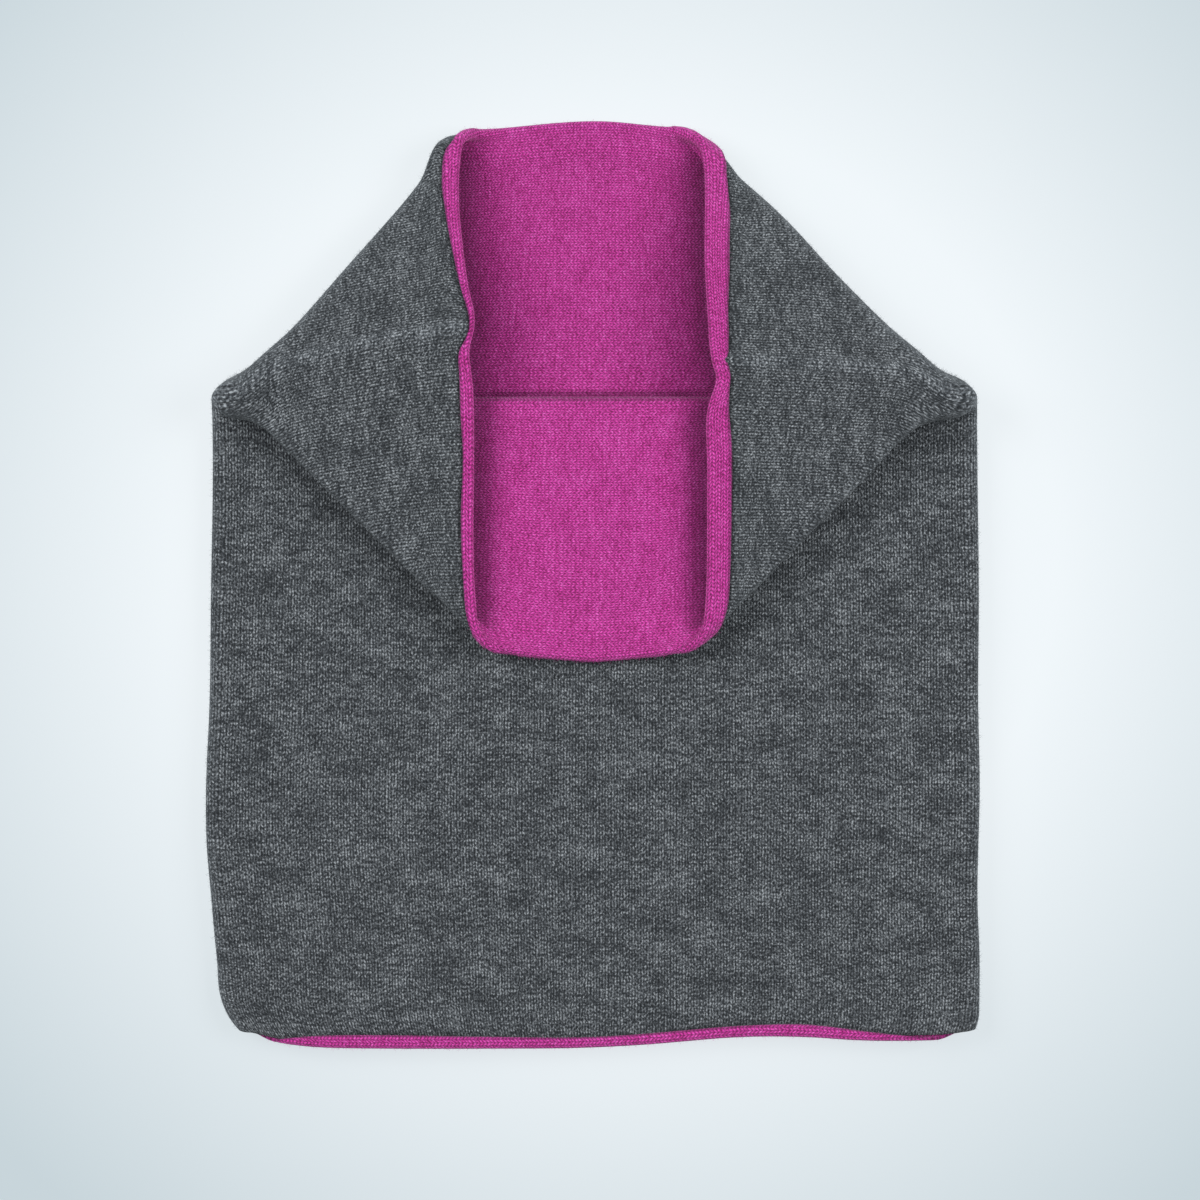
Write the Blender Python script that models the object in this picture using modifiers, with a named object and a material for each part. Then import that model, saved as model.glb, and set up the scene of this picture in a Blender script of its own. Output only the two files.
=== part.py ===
"""A reversible knitted snood, lying flat with its mouth opened out and squashed like a paper bag.

One tube of two knitted layers: an outer tube and a lining tube, joined at both ends where the lining
turns out over the outer tube's edge. The middle of the double wall is worked out ring by ring, from
the hem to the mouth. Both layers are sheets laid off it, and Solidify gives them their thickness.

Every ring runs through the same stations, on each side: 0 middle of the back, 1 start of the upper
roll, 2 upper flap, 3 side crease, 4 lower flap, 5 end of the lower roll, 6 middle of the front.
X runs across the tube, Y from the hem to the mouth and Z up. Units are metres.
"""

import bpy
import numpy as np

MM = 0.001

# Driving sizes of the tube, laid flat
HALF_WIDTH = 140 * MM
LENGTH = 338.5 * MM
FOLD_FROM_HEM = 237 * MM

# Driving sizes of the knit
KNIT = 1.2 * MM
LAYER_GAP = 0.3 * MM
HOLLOW = 5.9 * MM

# Driving sizes of the mouth's folds
FOLD_CLEARANCE = 0.8 * MM
FLAP_CLEARANCE = 1.2 * MM
UPPER_ROLL = 4.6 * MM
UPPER_ROLL_REACH = 8 * MM
UPPER_ROLL_ROUNDING = 9 * MM
TURNED_FRONT_MIDDLE = 97 * MM
TURNED_FRONT_SIDE = 93.5 * MM
FLAP_EDGE_TRIM = 2.2 * MM
FLAP_EDGE_TRIM_FROM = 8 * MM
FLAP_EDGE_TRIM_TO = 34 * MM

# Driving sizes of the rounded corners, where the side, the front fold and both rolls meet
CORNER_ROUND = 1.5 * MM
CORNER_BELOW = 6.2 * MM
CORNER_ABOVE = 31 * MM
CORNER_LIFT_BELOW = 3.3 * MM
CORNER_LIFT_ABOVE = 12 * MM
CORNER_FOLD_EXTRA = 2.2 * MM
CORNER_PUFF = 1.6 * MM
CORNER_PUFF_REACH = 45 * MM
LOWER_ROLL_START = 5 * MM
CREASE_BELOW = 11 * MM
CREASE_ABOVE = 27 * MM

# Driving sizes of the lining's turned strip at the hem, and of the slope beside a strip that lies under
HEM_STRIP = 3.8 * MM
STRIP_SLOPE = 9 * MM
HEM_CORNER_LENGTH = 45 * MM

# Outline of the lying tube: share of the length from the hem, then each side's distance from the middle
# (left and right as shares of the half width)
SIDE_OUTLINE = (
    (0.000, 0.925, 0.985),
    (0.030, 0.948, 0.996),
    (0.052, 0.966, 1.004),
    (0.095, 0.981, 1.008),
    (0.160, 0.996, 1.001),
    (0.225, 1.009, 1.004),
    (0.270, 1.010, 1.007),
    (0.375, 1.000, 1.003),
    (0.485, 0.997, 1.005),
    (0.640, 0.992, 1.001),
    (0.700, 0.994, 1.000),
    (1.000, 0.994, 1.000),
)

# The hem's rounded corners: how far the edge rises, and over what width
# (left and right as shares of the half width)
HEM_CORNER = {
    "rise": (0.055, 0.025),
    "width": (0.280, 0.120),
}

# How far the mouth's top edge drops towards its corners, and how far its rounded corners reach in plan
# (left and right)
TOP_EDGE_CROWN = (2.9 * MM, 1.4 * MM)
UPPER_MOUTH_CORNER = (8 * MM, 13 * MM)
LOWER_MOUTH_CORNER = (8 * MM, 8 * MM)
MOUTH_CORNER_REACH = 26 * MM

# The mouth's edge along each flap, from the top roll to the bottom roll
# (station, left and right distance from the middle as shares of the half width)
FLAP_RIM = (
    (2.0, 0.352, 0.296),
    (2.5, 0.322, 0.287),
    (3.0, 0.320, 0.305),
    (3.5, 0.302, 0.288),
    (4.0, 0.290, 0.280),
)

# Width of the lining's turned strip round the mouth
# (station, left and right widths as shares of the half width)
RIM_STRIP = (
    (0.0, 0.035, 0.035),
    (1.0, 0.024, 0.042),
    (2.0, 0.020, 0.046),
    (3.0, 0.016, 0.046),
    (4.0, 0.016, 0.048),
    (5.0, 0.024, 0.042),
    (6.0, 0.035, 0.035),
)

# The side crease's height over the fold on each flap (left and right as shares of the half width)
CREASE_RISE = {
    "corner": (0.060, 0.060),
    "mouth": (0.170, 0.090),
}

# Steps through each zone between whole stations, and the side's turning angle at those, in degrees
STEPS = (
    (0.55, 0.85, 1.0),
    (0.20, 0.40, 0.60, 0.80, 1.0),
    (0.33, 0.67, 1.0),
    (0.33, 0.67, 1.0),
    (0.20, 0.40, 0.60, 0.80, 1.0),
    (0.15, 0.45, 1.0),
)
SIDE_ANGLES = (0, 0, 60, 90, 135, 180, 180)

# Rows up the tube, as shares of the hem-to-fold length and of the fold-to-mouth length
BODY_ROWS = (0.03, 0.06, 0.11, 0.18, 0.27, 0.38, 0.50, 0.63, 0.76, 0.86, 0.93)
MOUTH_ROWS = (0.09, 0.13, 0.18, 0.25, 0.34, 0.45, 0.58, 0.72, 0.83)
FRONT_FOLD_ROWS = 9
HOOK_STEPS = 4

# Colours from the photo, linear, and how matt the knit is
GREY = (0.083, 0.092, 0.101)
MAGENTA = (0.468, 0.053, 0.283)
KNIT_ROUGHNESS = 0.95

LEFT = 0
RIGHT = 1
BACK_MIDDLE, ROLL_START, UPPER_FLAP, CREASE, LOWER_FLAP, ROLL_END, FRONT_MIDDLE = range(7)

# Sizes that follow from the ones above
WALL = 2 * KNIT + LAYER_GAP
LAYER_STEP = KNIT + LAYER_GAP
EDGE_ROUND = LAYER_STEP + KNIT / 2
BACK_Z = WALL / 2
SIDE_ROUND = (HOLLOW + WALL) / 2
FRONT_Z = BACK_Z + 2 * SIDE_ROUND
FRONT_FOLD = (WALL + FOLD_CLEARANCE) / 2
LOWER_ROLL = (WALL + FLAP_CLEARANCE) / 2
FOLD_ROW_STEP = np.pi * (FRONT_FOLD + CORNER_FOLD_EXTRA) / (FRONT_FOLD_ROWS - 1)
PAST_FOLD = LENGTH - FOLD_FROM_HEM
ROLL_TRAVEL = np.pi / np.sqrt(2)
SLANT = 1 / np.sqrt(2)


def ease(value, low, high):
    """Rise smoothly from 0 at low to 1 at high."""
    share = np.clip((value - low) / (high - low), 0, 1)
    return share * share * (3 - 2 * share)


def ease_more(value, low, high):
    """Rise from 0 at low to 1 at high with no jump in the bend at either end."""
    share = np.clip((value - low) / (high - low), 0, 1)
    return share ** 3 * (share * (6 * share - 15) + 10)


def soften(distance, rounding):
    """A distance that bends smoothly away from 0 instead of turning negative."""
    return (distance + np.sqrt(distance ** 2 + rounding ** 2)) / 2


def read_table(table, side, where):
    """Smooth curve through a side's column of a table of (where, left, right)."""
    rows = np.array(table)
    places = rows[:, 0]
    values = rows[:, 1 + side]
    slopes = np.gradient(values, places)
    low = np.clip(np.searchsorted(places, where, side="right") - 1, 0, len(places) - 2)
    step = places[low + 1] - places[low]
    s = np.clip((where - places[low]) / step, 0, 1)
    start = (1 + 2 * s) * (1 - s) ** 2 * values[low] + step * s * (1 - s) ** 2 * slopes[low]
    end = s ** 2 * (3 - 2 * s) * values[low + 1] - step * s ** 2 * (1 - s) * slopes[low + 1]
    return start + end


def near_hem(v):
    """1 along the hem's strip and 0 further up."""
    return 1 - ease(v, EDGE_ROUND + HEM_STRIP, EDGE_ROUND + HEM_STRIP + STRIP_SLOPE)


def near_mouth(v):
    """1 along the mouth's strip and 0 further in."""
    widest = max(max(row[1:]) for row in RIM_STRIP) * HALF_WIDTH
    start = LENGTH - EDGE_ROUND - widest
    return ease(v, start - STRIP_SLOPE, start)


def back_line(v):
    """Height of the back panel, raised where a strip lies under it."""
    return BACK_Z + LAYER_STEP * (near_hem(v) + near_mouth(v))


def front_line(t, v):
    """Y and height of the front panel: up to the fold, over it and down again on the outside."""
    to_side = 1 - np.clip(t - ROLL_END, 0, 1)
    radius = FRONT_FOLD + CORNER_FOLD_EXTRA * to_side ** 2
    start = FOLD_FROM_HEM - np.pi * radius / 2
    end = FOLD_FROM_HEM + np.pi * radius / 2
    turn = np.clip((v - start) / radius, 0, np.pi)
    past = np.maximum(v - end, 0) / (LENGTH - end)
    reach = TURNED_FRONT_MIDDLE + (TURNED_FRONT_SIDE - TURNED_FRONT_MIDDLE) * to_side ** 1.5
    up = np.where(v < start, v, start + radius * np.sin(turn))
    y = up - past * (reach - (FOLD_FROM_HEM - start))
    z = FRONT_Z + radius * (1 - np.cos(turn)) + LAYER_STEP * near_mouth(v)
    return y, z


def body_half(t, v, side):
    """The flattened tube below the fold: back line, round side, front line."""
    half = HALF_WIDTH * read_table(SIDE_OUTLINE, side, v / LENGTH)
    straight = half - WALL / 2 - SIDE_ROUND
    knots = np.arange(BACK_MIDDLE, FRONT_MIDDLE + 1)
    angle = np.radians(np.interp(t, knots, SIDE_ANGLES))
    across = np.interp(t, knots, (0, 1, 1, 1, 1, 1, 0))
    front_y, front_z = front_line(t, v)
    back_z = back_line(v)
    up = (1 - np.cos(angle)) / 2
    x = across * straight + SIDE_ROUND * np.sin(angle)
    width = HALF_WIDTH * HEM_CORNER["width"][side]
    rise = HALF_WIDTH * HEM_CORNER["rise"][side] * (1 - ease(v, 0, HEM_CORNER_LENGTH))
    into_corner = np.clip((x - half + width) / width, 0, 1)
    y = v + (front_y - v) * up + rise * into_corner ** 2
    z = back_z + (front_z - back_z) * up
    return np.stack([x, y, z], axis=-1)


def roll_plan(turn, travel, bulge, at_rim):
    """How far a roll has gone across and along: a slanted half turn, but a quarter circle at the rim."""
    slanted = travel * turn / np.pi
    across = slanted + bulge * SLANT * np.sin(turn)
    along = slanted - bulge * SLANT * np.sin(turn)
    round_across = travel * np.sin(turn / 2)
    round_along = travel * (1 - np.cos(turn / 2))
    return across + (round_across - across) * at_rim, along + (round_along - along) * at_rim


def folded_half(t, v, side):
    """The opened mouth past the fold: back, upper roll, flap, lower roll, turned-down front."""
    past = v - FOLD_FROM_HEM
    share = soften(past, CORNER_ROUND) / PAST_FOLD
    corner_x = HALF_WIDTH * read_table(SIDE_OUTLINE, side, FOLD_FROM_HEM / LENGTH) - WALL / 2
    flap_x = corner_x + (HALF_WIDTH * read_table(FLAP_RIM, side, t) - corner_x) * share

    rim = LENGTH - EDGE_ROUND
    at_rim = ease(v, rim - MOUTH_CORNER_REACH, rim)
    top_y = v - TOP_EDGE_CROWN[side] * share * np.clip(t, 0, 1) ** 1.5
    back_z = back_line(v)
    front_y, front_z = front_line(t, v)

    rise = CREASE_RISE["corner"][side]
    rise = rise + (CREASE_RISE["mouth"][side] - rise) * ease(share, 0, 1)
    crease_y = FOLD_FROM_HEM + HALF_WIDTH * rise * ease(past, -CREASE_BELOW, CREASE_ABOVE)
    lower_round = LOWER_ROLL + CORNER_PUFF * (1 - ease(past, 0, CORNER_PUFF_REACH))
    crease_z = front_z + 2 * lower_round

    room = soften(top_y - crease_y, UPPER_ROLL_ROUNDING)
    upper_z = crease_z + (back_z + 2 * UPPER_ROLL - crease_z) * ease(room, 0, PAST_FOLD)
    upper_plan = UPPER_ROLL * (1 - np.exp(-room / UPPER_ROLL_REACH))
    lower_plan = lower_round * ease(past, 0, LOWER_ROLL_START)
    upper_travel = ROLL_TRAVEL * upper_plan
    lower_travel = ROLL_TRAVEL * lower_plan
    upper_travel = upper_travel + (UPPER_MOUTH_CORNER[side] - upper_travel) * at_rim
    lower_travel = lower_travel + (LOWER_MOUTH_CORNER[side] - lower_travel) * at_rim

    back_end = flap_x - upper_travel
    front_end = flap_x - lower_travel
    upper_y = top_y - upper_travel
    lower_y = front_y + lower_travel

    first = np.pi * np.clip(t - ROLL_START, 0, 1)
    last = np.pi * np.clip(ROLL_END - t, 0, 1)
    first_across, first_along = roll_plan(first, upper_travel, upper_plan, at_rim)
    last_across, last_along = roll_plan(last, lower_travel, lower_plan, at_rim)
    down = np.clip(t - UPPER_FLAP, 0, 1)
    on = np.clip(t - CREASE, 0, 1)
    flat = np.zeros_like(t + v)

    back = [back_end * np.clip(t, 0, 1), top_y, back_z + flat]
    roll_up = [
        back_end + first_across,
        top_y - first_along,
        back_z + (upper_z - back_z) * (1 - np.cos(first)) / 2,
    ]
    upper_flap = [
        flap_x,
        upper_y + (crease_y - upper_y) * down,
        upper_z + (crease_z - upper_z) * down * (2 - down),
    ]
    lower_flap = [flap_x, crease_y + (lower_y - crease_y) * on, crease_z + flat]
    roll_down = [
        front_end + last_across,
        front_y + last_along,
        front_z + lower_round * (1 - np.cos(last)),
    ]
    front = [front_end * np.clip(FRONT_MIDDLE - t, 0, 1), front_y, front_z + flat]

    zones = [t < start for start in (ROLL_START, UPPER_FLAP, CREASE, LOWER_FLAP, ROLL_END)]
    parts = zip(back, roll_up, upper_flap, lower_flap, roll_down, front)
    points = np.stack([np.select(zones, part[:5], part[5]) for part in parts], axis=-1)

    trim = FLAP_EDGE_TRIM * ease(past, FLAP_EDGE_TRIM_FROM, FLAP_EDGE_TRIM_TO) * (1 - at_rim / 2)
    trim = trim * ease(t, BACK_MIDDLE + 0.2, ROLL_START + 0.2) * (1 - ease(t, UPPER_FLAP, CREASE + 0.2))
    return points - trim[..., None] * np.array([SLANT, SLANT, 0])


def half_wall(t, v, side):
    """Middle of the double wall at station t and row v, on one side, with X away from the middle."""
    t, v = np.broadcast_arrays(np.asarray(t, float), np.asarray(v, float))
    past = v - FOLD_FROM_HEM
    flat_mix = ease_more(past, -CORNER_BELOW, CORNER_ABOVE)
    lift_mix = ease_more(past, -CORNER_LIFT_BELOW, CORNER_LIFT_ABOVE)
    mix = np.stack([flat_mix, flat_mix, lift_mix], axis=-1)
    return body_half(t, v, side) * (1 - mix) + folded_half(t, v, side) * mix


def unit(vectors):
    """Vectors at length 1."""
    return vectors / np.linalg.norm(vectors, axis=-1, keepdims=True)


def half_outward(v, side):
    """Direction square to the wall's facets at each row and station, towards the outer tube's side.

    Halfway between the facets on both sides, as Solidify has it, so that both layers stay parallel.
    """
    t = stations()
    here = half_wall(t, v, side)
    next_t = np.append(t[1:], t[-1])
    last_t = np.append(t[0], t[:-1])
    to_next = half_wall(next_t, v, side) - here
    from_last = here - half_wall(last_t, v, side)
    to_next[:, -1] = from_last[:, -1]
    from_last[:, 0] = to_next[:, 0]
    to_above = half_wall(t, v + FOLD_ROW_STEP, side) - here
    from_below = here - half_wall(t, v - FOLD_ROW_STEP, side)
    return unit(np.cross(unit(to_above) + unit(from_below), unit(to_next) + unit(from_last)))


def stations():
    """Station values round half the tube."""
    values = [0.0]
    for zone, steps in enumerate(STEPS):
        values += [zone + step for step in steps]
    return np.array(values)


def sheet_grid(paths):
    """Rings of points for each side's rows and offsets, closed round the tube."""
    t = stations()
    halves = []
    for side in (LEFT, RIGHT):
        rows, offsets = paths[side]
        halves.append(half_wall(t, rows, side) + half_outward(rows, side) * offsets[..., None])
    left, right = halves
    left[..., 0] *= -1
    right[:, [0, -1]] = (right[:, [0, -1]] + left[:, [0, -1]]) / 2
    return np.concatenate([right, left[:, -2:0:-1]], axis=1)


def wall_rows():
    """Row values from the outer tube's hem edge to its mouth edge."""
    rows = [EDGE_ROUND]
    rows += [share * FOLD_FROM_HEM for share in BODY_ROWS]
    across_fold = np.arange(FRONT_FOLD_ROWS) - (FRONT_FOLD_ROWS - 1) / 2
    rows += list(FOLD_FROM_HEM + across_fold * FOLD_ROW_STEP)
    rows += [FOLD_FROM_HEM + share * PAST_FOLD for share in MOUTH_ROWS]
    rows += [LENGTH - EDGE_ROUND - STRIP_SLOPE / 2, LENGTH - EDGE_ROUND]
    return np.array(rows)


def outer_paths():
    """Rows and offsets of the outer tube, the same on both sides."""
    rows = wall_rows()[:, None] + 0 * stations()
    offsets = np.full_like(rows, LAYER_STEP / 2)
    return {LEFT: (rows, offsets), RIGHT: (rows, offsets)}


def hook(strip, edge, outwards):
    """Rows and offsets of the lining's end: round the outer tube's edge, then the turned strip."""
    rows = []
    offsets = []
    for step in range(1, HOOK_STEPS + 1):
        angle = np.pi * step / HOOK_STEPS
        rows.append(edge + outwards * LAYER_STEP * np.sin(angle) + 0 * strip)
        offsets.append(LAYER_STEP / 2 - LAYER_STEP * np.cos(angle) + 0 * strip)
    rows.append(edge - outwards * strip)
    offsets.append(3 * LAYER_STEP / 2 + 0 * strip)
    return np.array(rows), np.array(offsets)


def lining_paths():
    """Rows and offsets of the lining: strip, hook, the whole tube, hook, strip."""
    t = stations()
    rows = wall_rows()[:, None] + 0 * t
    inner = np.full_like(rows, -LAYER_STEP / 2)
    paths = {}
    for side in (LEFT, RIGHT):
        hem_rows, hem_offsets = hook(HEM_STRIP + 0 * t, EDGE_ROUND, -1)
        mouth_strip = HALF_WIDTH * read_table(RIM_STRIP, side, t)
        mouth_rows, mouth_offsets = hook(mouth_strip, LENGTH - EDGE_ROUND, 1)
        all_rows = np.concatenate([hem_rows[::-1], rows, mouth_rows])
        all_offsets = np.concatenate([hem_offsets[::-1], inner, mouth_offsets])
        paths[side] = (all_rows, all_offsets)
    return paths


def make_material(name, colour):
    """Plain matt knit colour."""
    material = bpy.data.materials.new(name)
    material.use_nodes = True
    shader = material.node_tree.nodes["Principled BSDF"]
    shader.inputs["Base Color"].default_value = (*colour, 1.0)
    shader.inputs["Roughness"].default_value = KNIT_ROUGHNESS
    shader.inputs["Metallic"].default_value = 0.0
    return material


def make_tube(name, grid, material, collection):
    """An open knitted tube from a grid of rings, thickened evenly to both sides.

    Both tubes split their quads along the same diagonal, so that they stay parallel where the wall twists.
    """
    rings, around, _ = grid.shape
    low = np.arange(rings - 1)[:, None] * around + np.arange(around)
    beside = np.arange(rings - 1)[:, None] * around + (np.arange(around) + 1) % around
    first = np.stack([low, low + around, beside + around], axis=-1)
    second = np.stack([low, beside + around, beside], axis=-1)
    faces = np.stack([first, second]).reshape(-1, 3)
    mesh = bpy.data.meshes.new(name)
    mesh.from_pydata(grid.reshape(-1, 3).tolist(), [], faces.tolist())
    mesh.materials.append(material)
    mesh.shade_smooth()
    tube = bpy.data.objects.new(name, mesh)
    collection.objects.link(tube)
    thick = tube.modifiers.new("knit_thickness", "SOLIDIFY")
    thick.thickness = KNIT
    thick.offset = 0
    return tube


def centre_on_floor(tubes):
    """Shift the meshes so that the whole lies over the origin, on the floor."""
    bpy.context.view_layer.update()
    depsgraph = bpy.context.evaluated_depsgraph_get()
    corners = []
    for tube in tubes:
        mesh = tube.evaluated_get(depsgraph).to_mesh()
        points = np.empty(len(mesh.vertices) * 3)
        mesh.vertices.foreach_get("co", points)
        points = points.reshape(-1, 3)
        corners += [points.min(axis=0), points.max(axis=0)]
    low = np.min(corners, axis=0)
    high = np.max(corners, axis=0)
    shift = -np.array([(low[0] + high[0]) / 2, (low[1] + high[1]) / 2, low[2]])
    for tube in tubes:
        points = np.empty(len(tube.data.vertices) * 3)
        tube.data.vertices.foreach_get("co", points)
        tube.data.vertices.foreach_set("co", (points.reshape(-1, 3) + shift).ravel())
        tube.data.update()


def clear_scene():
    """Remove whatever the scene starts with."""
    for old in list(bpy.data.objects):
        bpy.data.objects.remove(old, do_unlink=True)


def main():
    """Build both tubes."""
    clear_scene()
    collection = bpy.data.collections.new("snood")
    bpy.context.scene.collection.children.link(collection)
    grey = make_material("grey_knit", GREY)
    magenta = make_material("magenta_knit", MAGENTA)
    outer = make_tube("outer_tube", sheet_grid(outer_paths()), grey, collection)
    lining = make_tube("lining_tube", sheet_grid(lining_paths()), magenta, collection)
    centre_on_floor((outer, lining))


main()
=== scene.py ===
# %% [markdown]
# # A reversible knitted snood, lying with its mouth folded open
#
# A snood is a knitted tube that is pulled over the head and worn round the neck. This one has two
# layers, a grey outer tube and a magenta lining, joined at both ends where the lining turns out over
# the grey edge. It lies flat, and its upper end is opened out and squashed like a paper bag.
#
# The lesson dresses a packed CAD model. The model's solids give every place and size, so the first
# cell loads it, and everything later is made in its frame, in metres.

import bpy
import numpy as np
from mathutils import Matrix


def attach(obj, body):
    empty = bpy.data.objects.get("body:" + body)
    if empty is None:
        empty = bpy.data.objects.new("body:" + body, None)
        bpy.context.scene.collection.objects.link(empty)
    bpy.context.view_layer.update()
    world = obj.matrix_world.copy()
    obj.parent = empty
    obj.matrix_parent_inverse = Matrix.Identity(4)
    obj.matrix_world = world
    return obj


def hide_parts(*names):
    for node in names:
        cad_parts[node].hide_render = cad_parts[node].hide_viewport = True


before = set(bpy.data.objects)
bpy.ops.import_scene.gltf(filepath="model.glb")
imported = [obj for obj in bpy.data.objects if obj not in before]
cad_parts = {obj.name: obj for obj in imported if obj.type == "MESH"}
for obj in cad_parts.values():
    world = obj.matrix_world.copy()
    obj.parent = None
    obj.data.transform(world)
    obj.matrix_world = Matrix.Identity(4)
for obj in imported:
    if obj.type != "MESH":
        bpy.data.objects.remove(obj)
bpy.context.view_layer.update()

# %% [markdown]
# ## The camera
#
# The snood is seen from straight above. A camera could be orthographic, but a long lens from a little
# over a metre away gives the same flat view and still works from other angles. Its height follows from
# the width that the picture has to take in.

# %% Look straight down with a long lens
PICTURE_WIDTH = 0.4386
PICTURE_MIDDLE = (0.0026, -0.0061)
LENS = 100
SENSOR = 36
LOOKED_AT_HEIGHT = 0.004


def placed(name, data):
    """An object with this data, put into the scene."""
    thing = bpy.data.objects.new(name, data)
    bpy.context.scene.collection.objects.link(thing)
    return thing


camera_data = bpy.data.cameras.new("camera")
camera_data.lens = LENS
camera_data.sensor_width = SENSOR
camera = placed("camera", camera_data)
camera.location = (*PICTURE_MIDDLE, LOOKED_AT_HEIGHT + PICTURE_WIDTH * LENS / SENSOR)
bpy.context.scene.camera = camera
print("camera height:", round(camera.location.z, 3))

# %% [markdown]
# ## The sizes of the tube
#
# These are the sizes that the CAD model was worked out from: the tube laid flat, the two layers of
# knit, and how far the mouth's folds reach. The pictured shape needs a few more, such as the round
# corners of the mouth and the waves of the hem.

# %% Sizes of the tube and its folds
MM = 0.001
MIDDLE_OF_BOX = np.array([-0.17, 169.25, 0.0]) * MM

HALF_WIDTH = 140 * MM
LENGTH = 338.5 * MM
FOLD_FROM_HEM = 237 * MM
KNIT = 1.2 * MM
LAYER_GAP = 0.3 * MM
HOLLOW = 5.9 * MM

FOLD_CLEARANCE = 0.8 * MM
FLAP_CLEARANCE = 1.2 * MM
UPPER_ROLL = 4.6 * MM
UPPER_ROLL_ROUNDING = 9 * MM
UPPER_ROLL_REACH = 8 * MM
TURNED_FRONT_MIDDLE = 96.3 * MM
TURNED_FRONT_SIDE = 92.8 * MM
TURNED_FRONT_BEND = 1.4
TOP_EDGE_CROWN = (2.9 * MM, 1.3 * MM)
TOP_EDGE_BEND = 1.3

CORNER_ROUND = 1.5 * MM
CORNER_BELOW = 6.2 * MM
CORNER_ABOVE = 31 * MM
CORNER_LIFT_BELOW = 3.3 * MM
CORNER_LIFT_ABOVE = 12 * MM
CORNER_FOLD_EXTRA = 2.2 * MM
CORNER_PUFF = 1.6 * MM
CORNER_PUFF_REACH = 45 * MM
LOWER_ROLL_START = 5 * MM
CREASE_BELOW = 11 * MM
CREASE_ABOVE = 27 * MM
HEM_CORNER_LENGTH = 45 * MM
HEM_CORNER_BEND = 2.5
STRIP_SLOPE = 9 * MM
WIDEST_STRIP = 0.050 * HALF_WIDTH
HEM_STRIP = 3.8 * MM
LEFT = 0
RIGHT = 1
print("flat tube:", round(2 * HALF_WIDTH / MM), "mm wide,", round(LENGTH / MM, 1), "mm long")

# %% [markdown]
# ## The sizes that follow
#
# The rest of the tube's section could be typed in too, but worked out from the sizes above it stays
# right when one of them changes: the double wall of two knits with a gap between them, the round
# sides, the heights of both panels, and the rolls, which turn over just wide enough for the wall.

# %% Sizes worked out
WALL = 2 * KNIT + LAYER_GAP
LAYER_STEP = KNIT + LAYER_GAP
EDGE_ROUND = LAYER_STEP + KNIT / 2
BACK_Z = WALL / 2
SIDE_ROUND = (HOLLOW + WALL) / 2
FRONT_Z = BACK_Z + 2 * SIDE_ROUND
FRONT_FOLD = (WALL + FOLD_CLEARANCE) / 2
LOWER_ROLL = (WALL + FLAP_CLEARANCE) / 2
PAST_FOLD = LENGTH - FOLD_FROM_HEM
ROLL_TRAVEL = np.pi / np.sqrt(2)
SLANT = 1 / np.sqrt(2)
print("double wall", round(WALL / MM, 2), "mm, front panel at", round(FRONT_Z / MM, 2), "mm")

# %% [markdown]
# ## The lines that the eye follows
#
# The outline, the mouth's edge and the hem are not straight on real cloth. Their points could be moved
# by hand, but a short table for each line is easier to correct. A smooth curve runs through its rows,
# and most tables have one column for the left side and one for the right. The first ones give the
# outline, in shares of the length and of half the width, how far the hem's corners rise, and, in
# millimetres by the place across, the hem's wave and how much of its strip shows.

# %% Tables of the outline and the hem
SIDE_OUTLINE = (
    (0.000, 0.912, 0.990),
    (0.015, 0.944, 1.004),
    (0.035, 0.967, 1.006),
    (0.090, 0.981, 1.007),
    (0.160, 0.996, 1.001),
    (0.225, 1.009, 1.004),
    (0.270, 1.010, 1.007),
    (0.375, 1.000, 1.003),
    (0.485, 0.997, 1.005),
    (0.640, 0.992, 1.001),
    (0.700, 0.994, 1.000),
    (1.000, 0.994, 1.000),
)
HEM_CORNER = {
    "rise": (0.040, 0.018),
    "width": (0.280, 0.120),
}
HEM_WAVE = (
    (-1.00, 0.0),
    (-0.30, 0.0),
    (0.00, 0.5),
    (0.15, 1.7),
    (0.25, 2.9),
    (0.36, 4.1),
    (0.57, 4.1),
    (0.68, 3.1),
    (1.00, 3.1),
)
HEM_WAVE_REACH = 70 * MM
HEM_VISIBLE = (
    (-1.00, 0.0),
    (-0.88, 0.0),
    (-0.79, 2.8),
    (-0.72, 4.4),
    (-0.64, 5.0),
    (-0.50, 5.0),
    (-0.30, 4.5),
    (0.00, 3.8),
    (0.15, 4.0),
    (0.40, 4.2),
    (0.55, 4.7),
    (0.67, 3.8),
    (0.79, 2.3),
    (0.88, 1.5),
    (0.95, 0.0),
    (1.00, 0.0),
)
print("rows:", len(SIDE_OUTLINE), "outline,", len(HEM_WAVE), "hem wave,", len(HEM_VISIBLE), "hem strip")

# %% [markdown]
# ## The rim of the mouth
#
# Round the tube, places are counted in stations: 0 is the middle of the back, 3 the side crease and 6
# the middle of the front. By station, these tables give how far out the rim stands, how it is kinked
# beside the crease, and how wide the turned strip shows, each as a share of half the width. The side
# crease rises on its way to the rim. The mouth's corners are round, and at the back they curl over.

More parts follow.
